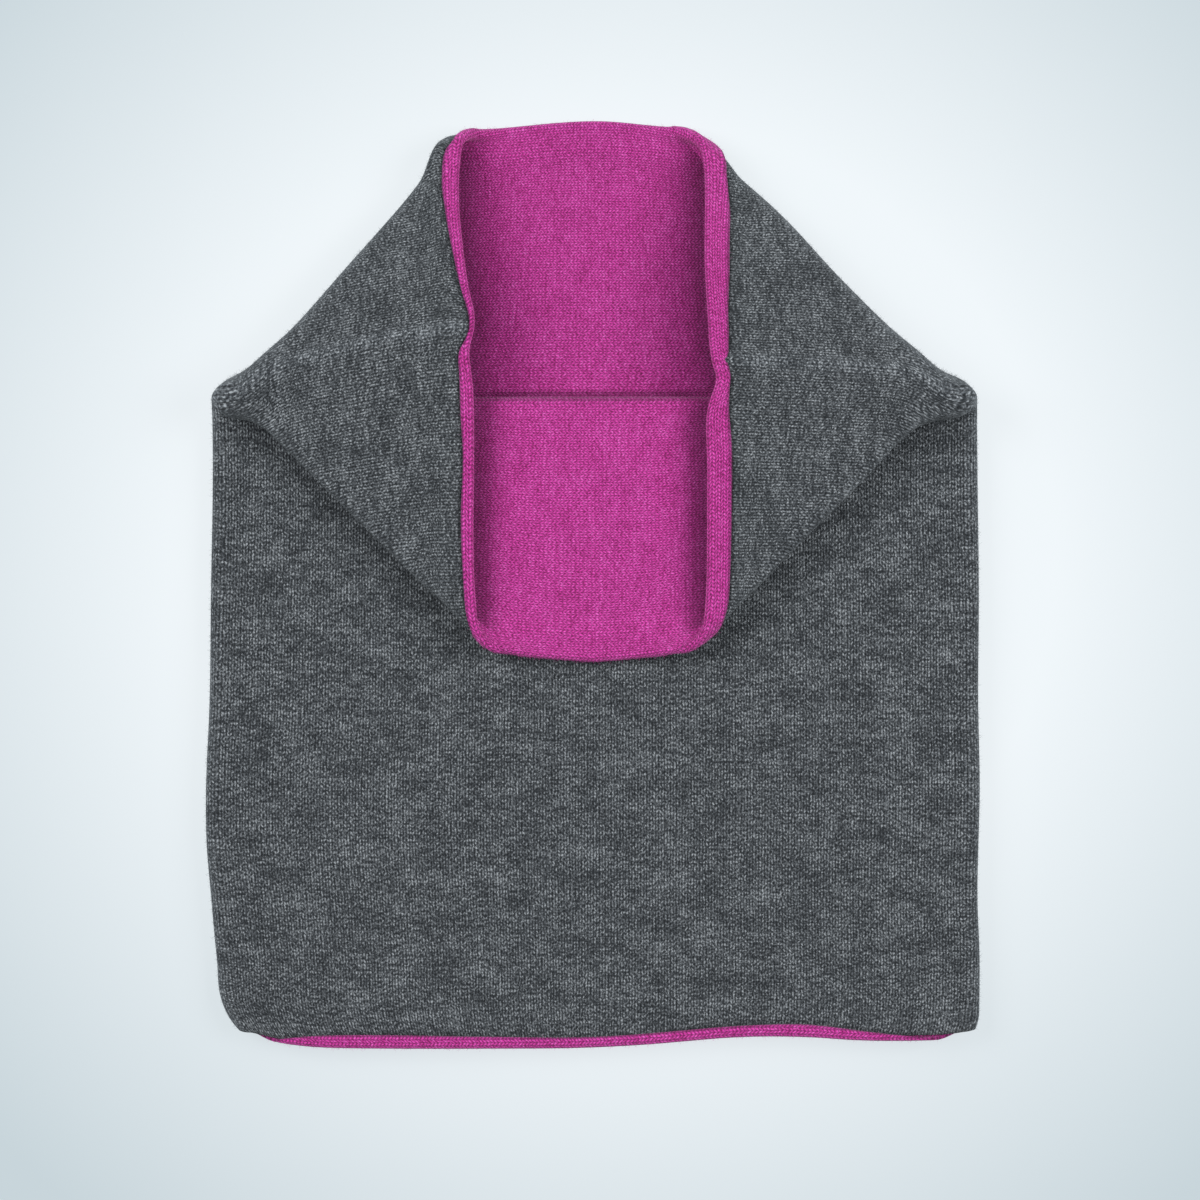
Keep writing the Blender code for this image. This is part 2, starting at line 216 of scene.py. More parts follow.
# %% Tables of the mouth's rim
FLAP_RIM = (
    (2.0, 0.352, 0.296),
    (2.5, 0.322, 0.287),
    (3.0, 0.320, 0.305),
    (3.5, 0.302, 0.288),
    (4.0, 0.290, 0.280),
)
RIM_KINK = (
    (2.00, 0.008, 0.004),
    (2.50, 0.020, 0.003),
    (2.80, 0.001, -0.002),
    (2.95, -0.016, -0.004),
    (3.03, -0.008, 0.004),
    (3.08, 0.005, 0.018),
    (3.14, -0.002, -0.001),
    (3.42, -0.002, -0.001),
    (3.70, 0.004, 0.001),
    (4.00, 0.004, 0.001),
)
RIM_STRIP = (
    (0.00, 0.035, 0.035),
    (1.00, 0.014, 0.043),
    (1.50, 0.008, 0.036),
    (1.80, 0.012, 0.034),
    (2.00, 0.022, 0.038),
    (2.17, 0.031, 0.053),
    (2.30, 0.027, 0.055),
    (2.50, 0.018, 0.054),
    (2.76, 0.006, 0.041),
    (2.97, 0.000, 0.033),
    (3.04, 0.001, 0.025),
    (3.09, 0.012, 0.022),
    (3.15, 0.018, 0.035),
    (3.28, 0.022, 0.047),
    (3.44, 0.015, 0.050),
    (3.70, 0.018, 0.050),
    (4.00, 0.013, 0.046),
    (5.00, 0.020, 0.040),
    (6.00, 0.035, 0.035),
)
CREASE_RISE = {
    "corner": (0.060, 0.060),
    "mouth": (0.170, 0.090),
}
MOUTH_CORNER = {
    "upper": (6.5 * MM, 13 * MM),
    "lower": (16 * MM, 15 * MM),
}
MOUTH_CORNER_REACH = 26 * MM
CURL = {
    "reach": 4.5 * MM,
    "bulge_reach": 15 * MM,
    "out": (2.5 * MM, 2 * MM),
    "in": (2.8 * MM, 1.5 * MM),
    "rise": (2.0, 0.3),
    "lift": (3.5 * MM, 2.5 * MM),
}
CURL_STATIONS = ((0.55, 1.25), (1.75, 2.35))
CURL_LIFT_ENDS = (1.3, 2.0)
print("rows:", len(FLAP_RIM), "flap rim,", len(RIM_KINK), "kinks,", len(RIM_STRIP), "turned strip")

# %% [markdown]
# ## The slanted edges of the flaps
#
# Each flap has two slanted edges where the cloth rolls over, one up to the mouth's top corner and one
# down to its lower corner. On the real snood they run nearly straight from a rounded start at the
# side. The tables say how far each is pulled in, in millimetres by the distance past the fold.

# %% Tables of the flaps' edges
UPPER_EDGE_TRIM = (
    (-10, 0.0, 0.0),
    (-3, 0.0, 0.0),
    (0, 0.3, 0.3),
    (3, 1.0, 1.0),
    (7, 2.2, 2.0),
    (14, 5.2, 5.4),
    (22, 4.0, 3.8),
    (36, 3.7, 3.6),
    (51, 3.1, 3.6),
    (66, 2.8, 2.8),
    (80, 2.4, 3.0),
    (102, 1.2, 1.6),
)
LOWER_EDGE_TRIM = (
    (-2, 0.0, 0.0),
    (3, 0.0, 0.0),
    (8, 1.4, 1.4),
    (13, 5.8, 6.2),
    (18, 7.1, 8.8),
    (23, 5.6, 7.9),
    (30, 4.6, 6.7),
    (37, 4.5, 6.0),
    (45, 4.3, 5.7),
    (60, 3.9, 5.0),
    (75, 3.3, 3.7),
    (82, 1.8, 1.8),
    (90, -0.9, -1.1),
    (96, -2.0, -1.8),
    (102, -1.2, -1.0),
)
UPPER_EDGE_STATIONS = ((0.2, 1.2), (3.2, 4.6))
UPPER_EDGE_LEAVES_FLAP = (2.0, 3.2)
UPPER_EDGE_LEAVES_PAST = (10, 35)
LOWER_EDGE_STATIONS = ((3.0, 4.0), (5.0, 5.9))
print("rows:", len(UPPER_EDGE_TRIM), "upper edge,", len(LOWER_EDGE_TRIM), "lower edge")

# %% [markdown]
# ## Smooth steps and curves
#
# Where one shape gives way to another, a straight blend would leave a crease, so the blends here are
# smooth steps. Between two rows of a table runs a cubic curve, whose slope at each row follows from
# the rows beside it, so no corner shows there either.

# %% Helpers for steps and tables


def ease(value, low, high):
    """Rises smoothly from 0 at low to 1 at high: share squared, times 3 less twice the share."""
    share = np.clip((value - low) / (high - low), 0, 1)
    return share * share * (3 - 2 * share)


def ease_more(value, low, high):
    """Rises from 0 to 1 with no jump in the bend: share cubed, times 6 share squared - 15 share + 10."""
    share = np.clip((value - low) / (high - low), 0, 1)
    return share ** 3 * (share * (6 * share - 15) + 10)


def window(value, rising, falling):
    """1 between two stretches, and 0 outside: eased in over the first, eased out over the second."""
    return ease(value, *rising) * (1 - ease(value, *falling))


def soften(distance, rounding):
    """Half the sum of the distance and its length with the rounding as the other leg: never negative."""
    return (distance + np.sqrt(distance ** 2 + rounding ** 2)) / 2


def read_table(table, column, where):
    """Cubic curve through one column of a table, with slopes from the neighbouring rows."""
    rows = np.array(table)
    places = rows[:, 0]
    values = rows[:, 1 + column]
    slopes = np.gradient(values, places)
    low = np.clip(np.searchsorted(places, where, side="right") - 1, 0, len(places) - 2)
    step = places[low + 1] - places[low]
    s = np.clip((where - places[low]) / step, 0, 1)
    start = (1 + 2 * s) * (1 - s) ** 2 * values[low] + step * s * (1 - s) ** 2 * slopes[low]
    end = s ** 2 * (3 - 2 * s) * values[low + 1] - step * s ** 2 * (1 - s) * slopes[low + 1]
    return start + end


shown = read_table(HEM_VISIBLE, 0, np.array([-0.9, -0.5, 0.0, 0.5, 0.9]))
print("hem strip shows", shown.round(1).tolist(), "mm")

# %% [markdown]
# ## The shape of the double wall
#
# A squashed tube could be made with a cloth simulation, but the folds of a real one are pressed in and
# its stitches have to follow them. So the middle of the double wall is a function of two numbers: v,
# the distance from the hem along the cloth, and t, the station round the tube. Stations 0 to 6 are the
# middle of the back, the start of the upper roll, the upper flap, the side crease, the lower flap, the
# end of the lower roll and the middle of the front. Below the fold the tube is a flat one with round
# sides. Past it, the back goes on, each side is folded in as a flap, and the front is turned down.

# %% The double wall below the fold
SIDE_ANGLES = (0, 0, 60, 90, 135, 180, 180)


def near_hem(v):
    """1 along the hem's strip, easing to 0 further up."""
    return 1 - ease(v, EDGE_ROUND + HEM_STRIP, EDGE_ROUND + HEM_STRIP + STRIP_SLOPE)


def near_mouth(v):
    """1 along the mouth's strip, easing to 0 further in."""
    start = LENGTH - EDGE_ROUND - WIDEST_STRIP
    return ease(v, start - STRIP_SLOPE, start)


def back_line(v):
    """Height of the back panel: its own, plus one layer where a strip lies under it."""
    return BACK_Z + LAYER_STEP * (near_hem(v) + near_mouth(v))


def front_line(t, v):
    """Y and height of the front: straight up, half a circle over the fold, then down on the outside."""
    to_side = 1 - np.clip(t - 5, 0, 1)
    radius = FRONT_FOLD + CORNER_FOLD_EXTRA * to_side ** 2
    start = FOLD_FROM_HEM - np.pi * radius / 2
    end = FOLD_FROM_HEM + np.pi * radius / 2
    turn = np.clip((v - start) / radius, 0, np.pi)
    past = np.maximum(v - end, 0) / (LENGTH - end)
    reach = TURNED_FRONT_MIDDLE + (TURNED_FRONT_SIDE - TURNED_FRONT_MIDDLE) * to_side ** TURNED_FRONT_BEND
    up = np.where(v < start, v, start + radius * np.sin(turn))
    y = up - past * (reach - (FOLD_FROM_HEM - start))
    z = FRONT_Z + radius * (1 - np.cos(turn)) + LAYER_STEP * near_mouth(v)
    return y, z


def body_half(t, v, side):
    """One half of the flat tube: straight back, half circle at the side, straight front."""
    half = HALF_WIDTH * read_table(SIDE_OUTLINE, side, v / LENGTH)
    straight = half - WALL / 2 - SIDE_ROUND
    knots = np.arange(7)
    angle = np.radians(np.interp(t, knots, SIDE_ANGLES))
    across = np.interp(t, knots, (0, 1, 1, 1, 1, 1, 0))
    front_y, front_z = front_line(t, v)
    back_z = back_line(v)
    up = (1 - np.cos(angle)) / 2
    x = across * straight + SIDE_ROUND * np.sin(angle)
    width = HALF_WIDTH * HEM_CORNER["width"][side]
    rise = HALF_WIDTH * HEM_CORNER["rise"][side] * (1 - ease(v, 0, HEM_CORNER_LENGTH))
    into_corner = np.clip((x - half + width) / width, 0, 1)
    y = v + (front_y - v) * up + rise * into_corner ** HEM_CORNER_BEND
    z = back_z + (front_z - back_z) * up
    return np.stack([x, y, z], axis=-1)


print("side at half height:", np.round(body_half(3.0, 0.12, LEFT) / MM, 1))

# %% [markdown]
# ## Rolls, flaps and curled corners
#
# At a flap's slanted edges the cloth rolls over. A roll could be swept along its edge, but it also
# narrows and turns round at the rim, so its points are worked out from the angle that the cloth has
# turned by. A flap is flat but for the kinks of its rim, and the mouth's back corners curl.

# %% Parts of the opened mouth


def rounded_plan(turn, travel, bulge, at_rim):
    """How far a roll has gone on and off at an angle: a slanted half turn, a quarter circle at the rim."""
    slanted_on = travel * turn / np.pi + bulge * SLANT * np.sin(turn)
    slanted_off = travel * turn / np.pi - bulge * SLANT * np.sin(turn)
    round_on = travel * np.sin(turn / 2)
    round_off = travel * (1 - np.cos(turn / 2))
    return slanted_on + (round_on - slanted_on) * at_rim, slanted_off + (round_off - slanted_off) * at_rim


def flap_plane(t, side, share, at_rim):
    """X of a flap: from the side at the fold straight to its rim, where the kinks are added."""
    corner_x = HALF_WIDTH * read_table(SIDE_OUTLINE, side, FOLD_FROM_HEM / LENGTH) - WALL / 2
    kink = HALF_WIDTH * read_table(RIM_KINK, side, t) * at_rim ** 2
    return corner_x + (HALF_WIDTH * read_table(FLAP_RIM, side, t) - corner_x) * share + kink


def corner_curl(t, v, side):
    """How the mouth's back corners move: out and up in a bulge, then in and lifted at the very rim."""
    rim = LENGTH - EDGE_ROUND
    curled = ease(v, rim - CURL["reach"], rim)
    bulged = ease(v, rim - CURL["bulge_reach"], rim - CURL["reach"]) * (1 - curled)
    at_corner = window(t, *CURL_STATIONS)
    out = CURL["out"][side] * bulged * at_corner * SLANT
    sideways = out - CURL["in"][side] * curled * at_corner * SLANT
    upwards = CURL["rise"][side] * out
    lift = CURL["lift"][side] * curled * at_corner * (1 - ease(t, *CURL_LIFT_ENDS))
    return np.stack([sideways, upwards, lift], axis=-1)


print("left corner's curl:", np.round(corner_curl(1.5, LENGTH - EDGE_ROUND, LEFT) / MM, 1))

# %% [markdown]
# ## The opened mouth
#
# Past the fold each side goes through six zones, one between each two stations: the back, the upper
# roll, the upper and the lower half of the flap, the lower roll and the turned-down front. All six are
# worked out for every point, and each point then takes the one that its station lies in.

# %% The opened mouth past the fold


def folded_half(t, v, side):
    """One half of the opened mouth: back, upper roll, flap, lower roll, turned-down front.

    A roll follows half a turn round a slanted axis: travel grows with the angle, the bulge with its sine.
    At the rim that gives way to a quarter circle, the mouth's round corner.
    """
    past = v - FOLD_FROM_HEM
    share = soften(past, CORNER_ROUND) / PAST_FOLD
    rim = LENGTH - EDGE_ROUND
    at_rim = ease(v, rim - MOUTH_CORNER_REACH, rim)
    flap_x = flap_plane(t, side, share, at_rim)
    top_y = v - TOP_EDGE_CROWN[side] * share * np.clip(t, 0, 1) ** TOP_EDGE_BEND
    back_z = back_line(v)
    front_y, front_z = front_line(t, v)

    rise = CREASE_RISE["corner"][side]
    rise = rise + (CREASE_RISE["mouth"][side] - rise) * ease(share, 0, 1)
    crease_y = FOLD_FROM_HEM + HALF_WIDTH * rise * ease(past, -CREASE_BELOW, CREASE_ABOVE)
    lower_round = LOWER_ROLL + CORNER_PUFF * (1 - ease(past, 0, CORNER_PUFF_REACH))
    crease_z = front_z + 2 * lower_round

    room = soften(top_y - crease_y, UPPER_ROLL_ROUNDING)
    upper_z = crease_z + (back_z + 2 * UPPER_ROLL - crease_z) * ease(room, 0, PAST_FOLD)
    upper_bulge = UPPER_ROLL * (1 - np.exp(-room / UPPER_ROLL_REACH))
    lower_bulge = lower_round * ease(past, 0, LOWER_ROLL_START)
    upper_travel = ROLL_TRAVEL * upper_bulge
    lower_travel = ROLL_TRAVEL * lower_bulge
    upper_travel = upper_travel + (MOUTH_CORNER["upper"][side] - upper_travel) * at_rim
    lower_travel = lower_travel + (MOUTH_CORNER["lower"][side] - lower_travel) * at_rim
    back_end = flap_x - upper_travel
    front_end = flap_x - lower_travel
    upper_y = top_y - upper_travel
    lower_y = front_y + lower_travel

    first = np.pi * np.clip(t - 1, 0, 1)
    last = np.pi * np.clip(5 - t, 0, 1)
    first_on, first_off = rounded_plan(first, upper_travel, upper_bulge, at_rim)
    last_on, last_off = rounded_plan(last, lower_travel, lower_bulge, at_rim)
    down = np.clip(t - 2, 0, 1)
    on = np.clip(t - 3, 0, 1)
    flat = np.zeros_like(t + v)

    back = [back_end * np.clip(t, 0, 1), top_y, back_z + flat]
    roll_up = [
        back_end + first_on,
        top_y - first_off,
        back_z + (upper_z - back_z) * (1 - np.cos(first)) / 2,
    ]
    upper_flap = [
        flap_x,
        upper_y + (crease_y - upper_y) * down,
        upper_z + (crease_z - upper_z) * down * (2 - down),
    ]
    lower_flap = [flap_x, crease_y + (lower_y - crease_y) * on, crease_z + flat]
    roll_down = [
        front_end + last_on,
        front_y + last_off,
        front_z + lower_round * (1 - np.cos(last)),
    ]
    front = [front_end * np.clip(6 - t, 0, 1), front_y, front_z + flat]

    zones = [t < 1, t < 2, t < 3, t < 4, t < 5]
    parts = zip(back, roll_up, upper_flap, lower_flap, roll_down, front)
    points = np.stack([np.select(zones, part[:5], part[5]) for part in parts], axis=-1)
    return points + corner_curl(t, v, side)


print("mouth's right corner:", np.round(folded_half(1.5, LENGTH - EDGE_ROUND, RIGHT) / MM, 1))

# %% [markdown]
# ## One wall out of two
#
# The flat tube and the opened mouth are blended over the stretch where the side, the fold and the flap
# meet. The height changes over a shorter stretch than the plan, because the real corner rises steeply.
# The pull on the flaps' slanted edges comes last.

# %% The blended wall


def flap_edges(t, v, side):
    """How far the flap's two slanted edges are pulled in, each along its own diagonal by its own table."""
    past = (v - FOLD_FROM_HEM) / MM
    upper = MM * read_table(UPPER_EDGE_TRIM, side, past) * window(t, *UPPER_EDGE_STATIONS)
    upper = upper * (1 - ease(t, *UPPER_EDGE_LEAVES_FLAP) * ease(past, *UPPER_EDGE_LEAVES_PAST))
    lower = MM * read_table(LOWER_EDGE_TRIM, side, past) * window(t, *LOWER_EDGE_STATIONS)
    return np.stack([-upper - lower, lower - upper, 0 * upper], axis=-1) * SLANT


def half_wall(t, v, side):
    """Below and past the fold blended by smooth steps, the height over a shorter stretch than the plan."""
    t, v = np.broadcast_arrays(np.asarray(t, float), np.asarray(v, float))
    past = v - FOLD_FROM_HEM
    flat_mix = ease_more(past, -CORNER_BELOW, CORNER_ABOVE)
    lift_mix = ease_more(past, -CORNER_LIFT_BELOW, CORNER_LIFT_ABOVE)
    mix = np.stack([flat_mix, flat_mix, lift_mix], axis=-1)
    blended = body_half(t, v, side) * (1 - mix) + folded_half(t, v, side) * mix
    return blended + flap_edges(t, v, side)


print("side crease 20 mm past the fold:", np.round(half_wall(3.0, FOLD_FROM_HEM + 20 * MM, LEFT) / MM, 1))

# %% [markdown]
# ## One grid for both layers
#
# Both layers follow the same wall, so its points are worked out once, as a grid of rings. An even grid
# would need far more points for the same folds, so the rows and columns stand closer together where
# the cloth bends tightly. The table of rows gives their spacing in millimetres by the distance from
# the hem.

# %% Rows and columns
ZONE_STEPS = (30, 13, 26, 28, 12, 30)
ZONE_CROWDING = (1.6, 1.0, 1.5, 1.5, 1.0, 1.6)
ROW_SPACING = (
    (0, 1.2),
    (20, 3.2),
    (212, 3.2),
    (226, 1.0),
    (248, 1.0),
    (264, 2.5),
    (316, 2.5),
    (328, 0.75),
    (339, 0.75),
)
ROW_SAMPLES = 4000


def station_columns():
    """Stations round half the tube, crowded towards the side in each zone: the share left, to a power."""
    values = [np.array([0.0])]
    for zone, steps in enumerate(ZONE_STEPS):
        share = np.arange(1, steps + 1) / steps
        if zone < 3:
            share = 1 - (1 - share) ** ZONE_CROWDING[zone]
        else:
            share = share ** ZONE_CROWDING[zone]
        values.append(zone + share)
    return np.concatenate(values)


def wall_rows():
    """Distances from the hem whose spacing follows a table, by summing up rows per length."""
    places, spacing = np.array(ROW_SPACING).T * MM
    fine = np.linspace(EDGE_ROUND, LENGTH - EDGE_ROUND, ROW_SAMPLES)
    per_length = 1 / np.interp(fine, places, spacing)
    count = np.concatenate([[0], np.cumsum((per_length[1:] + per_length[:-1]) / 2 * np.diff(fine))])
    return np.interp(np.linspace(0, count[-1], int(count[-1]) + 1), count, fine)


T = station_columns()
V = wall_rows()
STATIONS = np.concatenate([T, T[-2:0:-1]])
SIDES = np.concatenate([np.full(len(T), RIGHT), np.full(len(T) - 2, LEFT)])
print("rows", len(V), "columns round the tube", len(STATIONS))

# %% [markdown]
# ## The points of the wall
#
# The two halves are joined to rings. A few rounds of averaging each point with its neighbours take off
# what corners the formulas leave, and only there, because averaging acts over a few grid steps. The
# cloth's slight sag and waves are added to whatever lies high enough above the table. A wave is given
# by its height in millimetres, by how many radians it turns for each metre along X and Y, and by the
# angle that it starts at.

# %% The wall's points
RELAX_ROUNDS = 4
SAG = 0.9 * MM
SAG_MIDDLE_Y = -50 * MM
SAG_REACH = (105 * MM, 100 * MM)
WAVES_SET_IN = (4 * MM, 9 * MM)
WAVES = (
    (0.35, 21, 34, 0.4),
    (0.30, -38, 17, 1.9),
    (0.22, 55, 29, 4.0),
    (0.16, 23, -71, 2.6),
    (0.12, -88, 61, 0.9),
)


def ring_of(left, right):
    """Both halves joined to closed rings: right half from back to front, then left half back again."""
    left = left.copy()
    left[..., 0] *= -1
    right = right.copy()
    right[:, [0, -1]] = (right[:, [0, -1]] + left[:, [0, -1]]) / 2
    return np.concatenate([right, left[:, -2:0:-1]], axis=1)


def relaxed(points, rounds):
    """Each point moved halfway to the mean of its neighbours. End rows only move along themselves."""
    for _ in range(rounds):
        beside = (np.roll(points, 1, axis=1) + np.roll(points, -1, axis=1)) / 2
        along = points.copy()
        along[1:-1] = (points[2:] + points[:-2]) / 2
        inside = (beside + along) / 2
        inside[[0, -1]] = beside[[0, -1]]
        points = (points + inside) / 2
    return points


def waves(x, y):
    """Height of the soft waves and the sag: a sum of sines in X and Y, less a broad dip in the middle."""
    total = sum(size * MM * np.sin(kx * x + ky * y + start) for size, kx, ky, start in WAVES)
    dip = SAG * np.exp(-(x / SAG_REACH[0]) ** 4) * np.exp(-((y - SAG_MIDDLE_Y) / SAG_REACH[1]) ** 4)
    return total - dip


wall = ring_of(half_wall(T, V[:, None], LEFT), half_wall(T, V[:, None], RIGHT))
wall = relaxed(wall, RELAX_ROUNDS)
across_share = wall[..., 0] / HALF_WIDTH
wall[..., 1] += MM * read_table(HEM_WAVE, 0, across_share) * (1 - ease(V[:, None], 0, HEM_WAVE_REACH))
wall -= MIDDLE_OF_BOX
wall[..., 2] += waves(wall[..., 0], wall[..., 1]) * ease(wall[..., 2], *WAVES_SET_IN)
print("rings", wall.shape[0], "columns", wall.shape[1], "low", np.round(wall.min(axis=(0, 1)), 4))

# %% [markdown]
# ## Directions and distances on the wall
#
# Each layer lies half a layer step to one side of the wall, so every grid point needs the direction
# square to the cloth. It is the cross product of the differences along the grid. The distance round
# the tube is summed up along each ring, because the stitches are counted with it later.

# %% Outward directions and stitch counts round the tube
COLUMNS = wall.shape[1]
NORMAL_ROUNDS = 2
GREY_WALES_ROUND = 264
GREY_COURSE = 1.33 * MM
MAGENTA_COURSES_ROUND = 408
MAGENTA_WALE = 2.0 * MM


def unit(vectors):
    """Vectors divided by their own length."""
    return vectors / np.linalg.norm(vectors, axis=-1, keepdims=True)


def outward(points):
    """Cross product of the steps up and round the tube, evened out with the neighbours' directions."""
    up = np.gradient(points, axis=0)
    round_ = np.roll(points, -1, axis=1) - np.roll(points, 1, axis=1)
    return unit(relaxed(unit(np.cross(up, round_)), NORMAL_ROUNDS))


def round_share(points):
    """Distance round each ring, stretched so that every quarter counts 1: 0 at the back, 4 at its end."""
    steps = np.linalg.norm(np.diff(np.concatenate([points, points[:, :1]], axis=1), axis=1), axis=-1)
    length = np.concatenate([np.zeros((len(points), 1)), np.cumsum(steps, axis=1)], axis=1)
    half = len(T) - 1
    crease = sum(ZONE_STEPS[:3])
    marks = [0, crease, half, 2 * half - crease, 2 * half]
    shares = np.zeros_like(length)
    for quarter in range(4):
        low, high = marks[quarter], marks[quarter + 1]
        start = length[:, low:low + 1]
        whole = length[:, high:high + 1] - start
        shares[:, low:high + 1] = quarter + (length[:, low:high + 1] - start) / whole
    return shares


normals = outward(wall)
quarters = round_share(wall)
print("normals point out:", bool(normals[40, 0, 2] < 0), "quarters run to", float(quarters.max()))

# %% [markdown]
# ## Laying a path off the wall
#
# The grey tube follows the wall on its outer side. The lining follows it on the inner side, goes round
# the grey edge at each end and comes back on the outside as a turned strip. Both are paths in the same
# terms: how far along the wall, and how far off it. Near both ends of the hem the strip slips under the
# edge, so there the lining stops part of the way round.

# %% Points at any distance along the wall and off it
STRIP_STEPS = 13
SEAM_SINK = 0.55 * MM
SEATED_STEPS = 1.6
LEAST_TURN = 0.04


def along_columns(grid, rows):
    """Values of a grid at any row distance, each column read separately, by straight lines between rows."""
    place = np.clip(np.searchsorted(V, rows) - 1, 0, len(V) - 2)
    share = ((rows - V[place]) / (V[place + 1] - V[place]))[..., None]
    column = np.broadcast_to(np.arange(grid.shape[1]), rows.shape)
    return grid[place, column] * (1 - share) + grid[place + 1, column] * share


def turned_end(edge_row, direction, width):
    """A lining end as points and distances: round the grey edge, then back along it.

    A point at path length l is at angle l over the layer step until half a turn is done. What is left
    of l then runs back along the wall, one and a half layer steps off it.
    """
    share = np.arange(1, STRIP_STEPS + 1)[:, None] / STRIP_STEPS
    path = width[None] * share
    angle = np.minimum(path / LAYER_STEP, np.pi)
    back = np.maximum(path - np.pi * LAYER_STEP, 0)
    row = -1 if direction > 0 else 0
    tangent = unit(wall[row] - wall[row - direction])
    rows = edge_row - direction * back
    base = along_columns(wall, rows)
    normal = along_columns(normals, rows)
    seated = ease(share, 1 - SEATED_STEPS / STRIP_STEPS, 1) * (angle >= np.pi)
    offset = LAYER_STEP / 2 - LAYER_STEP * np.cos(angle) - SEAM_SINK * seated
    points = base + normal * offset[..., None] + tangent * (LAYER_STEP * np.sin(angle))[..., None]
    return points, path


half_turn = np.pi * LAYER_STEP
visible = MM * read_table(HEM_VISIBLE, 0, across_share[0])
turned_share = np.clip(visible / EDGE_ROUND, LEAST_TURN, 1)
hem_width = half_turn * turned_share + np.maximum(visible - EDGE_ROUND, 0)
rim_strips = [read_table(RIM_STRIP, side, STATIONS) for side in (LEFT, RIGHT)]
rim_width = np.where(SIDES == RIGHT, rim_strips[RIGHT], rim_strips[LEFT])
mouth_width = half_turn + HALF_WIDTH * rim_width

hem_points, hem_path = turned_end(V[0], -1, hem_width)
mouth_points, mouth_path = turned_end(V[-1], 1, mouth_width)
grey_points = wall + normals * LAYER_STEP / 2
inner_points = wall - normals * LAYER_STEP / 2
lining_points = np.concatenate([hem_points[::-1], inner_points, mouth_points])
lining_path = np.concatenate([V[0] - hem_path[::-1], V[:, None] + 0 * STATIONS, V[-1] + mouth_path])
print("lining rows:", len(hem_points), "+", len(inner_points), "+", len(mouth_points))

# %% [markdown]
# ## From a grid to a knitted sheet
#
# A grid of points becomes a mesh of four-sided faces, closed round the tube. Its UV map counts stitches
# instead of running from 0 to 1: one unit is one stitch column across and one row along, so a material
# can draw every stitch where it is. Solidify then gives the sheet its thickness, thinner at the
# strip's free edges, where the lining is sewn down.

# %% Helper that makes a sheet
TAPERED = 0.3


def knitted_sheet(name, points, stitches, fields, thin_rows):
    """Four-sided faces between each two rings, a UV map in stitches, and fields of values by point."""
    rings, around, _ = points.shape
    ring = np.arange(rings - 1)[:, None]
    column = np.arange(around)[None]
    following = (column + 1) % around
    faces = np.stack([
        ring * around + column,
        (ring + 1) * around + column,
        (ring + 1) * around + following,
        ring * around + following,
    ], axis=-1).reshape(-1, 4)
    mesh = bpy.data.meshes.new(name)
    mesh.from_pydata(points.reshape(-1, 3).tolist(), [], faces.tolist())
    corners = np.stack([
        stitches[:-1, :-1],
        stitches[1:, :-1],
        stitches[1:, 1:],
        stitches[:-1, 1:],
    ], axis=2)
    layer = mesh.uv_layers.new(name="stitches")
    layer.data.foreach_set("uv", corners.reshape(-1))
    for field, values in fields.items():
        attribute = mesh.attributes.new(field, "FLOAT", "POINT")
        attribute.data.foreach_set("value", values.reshape(-1))
    mesh.shade_smooth()
    sheet = placed(name, mesh)
    group = sheet.vertex_groups.new(name="thickness")
    indices = np.arange(rings * around).reshape(rings, around)
    group.add(indices.reshape(-1).tolist(), 1.0, "REPLACE")
    for row, weight in thin_rows.items():
        group.add(indices[row].tolist(), weight, "REPLACE")
    thick = sheet.modifiers.new("knit_thickness", "SOLIDIFY")
    thick.thickness = KNIT
    thick.offset = 0
    thick.vertex_group = "thickness"
    return sheet


def stitch_map(across, along):
    """Two grids of stitch counts stacked to UV pairs. A ring's last column stands where its first does."""
    across, along = np.broadcast_arrays(across, along)
    return np.stack([across, along], axis=-1)


def closed(grid):
    """A grid with its first column repeated at the end."""
    return np.concatenate([grid, grid[:, :1]], axis=1)


print("a sheet's free edge keeps", TAPERED, "of its thickness")

# %% [markdown]
# ## The grey outer tube
#
# It is knitted lengthways, so its stitch columns run from the hem to the mouth and lie across on the
# folded flaps. Two fields go with it. The one named crease is high along the old side crease, which
# stands up as a low ridge and gets a painted highlight. The other is painted shade: it darkens the cloth
# as a shadow along the line where the strip is sewn down, and where the lower roll turns under the flap.

# %% Make the outer tube
CREASE_HALF_WIDTH = 2.8 * MM
CREASE_HEIGHT = 1.5 * MM
CREASE_SETS_IN = 12 * MM
SEAM_SHADE_HALF_WIDTH = 0.8 * MM
UNDER_EDGE_STATIONS = ((4.28, 4.55), (4.9, 5.1))
UNDER_EDGE_SETS_IN = (FOLD_FROM_HEM + 4 * MM, FOLD_FROM_HEM + 13 * MM)

from_crease = ((quarters[:, :-1] + 1) % 2) * HALF_WIDTH
from_crease = np.minimum(from_crease, 2 * HALF_WIDTH - from_crease)
crease = np.exp(-(from_crease / CREASE_HALF_WIDTH) ** 2)
crease = crease * ease(V[:, None], FOLD_FROM_HEM, FOLD_FROM_HEM + CREASE_SETS_IN)
# Painted shadow along the line where the strip is sewn down.
hem_seam = V[0] + np.maximum(hem_width - half_turn, 0)
mouth_seam = V[-1] - (mouth_width - half_turn)
from_seam = np.minimum(np.abs(V[:, None] - hem_seam), np.abs(V[:, None] - mouth_seam))
painted_shade = np.exp(-(from_seam / SEAM_SHADE_HALF_WIDTH) ** 2)
# Painted shade where the lower roll turns under the flap.
under_edge_shade = window(STATIONS, *UNDER_EDGE_STATIONS) * ease(V[:, None], *UNDER_EDGE_SETS_IN)

outer = knitted_sheet(
    "grey_outer_tube",
    grey_points + normals * (CREASE_HEIGHT * crease)[..., None],
    stitch_map(quarters * GREY_WALES_ROUND / 4, V[:, None] / GREY_COURSE),
    {"painted_shade": np.maximum(painted_shade, under_edge_shade), "crease": crease},
    {},
)
print("outer tube faces", len(outer.data.polygons))
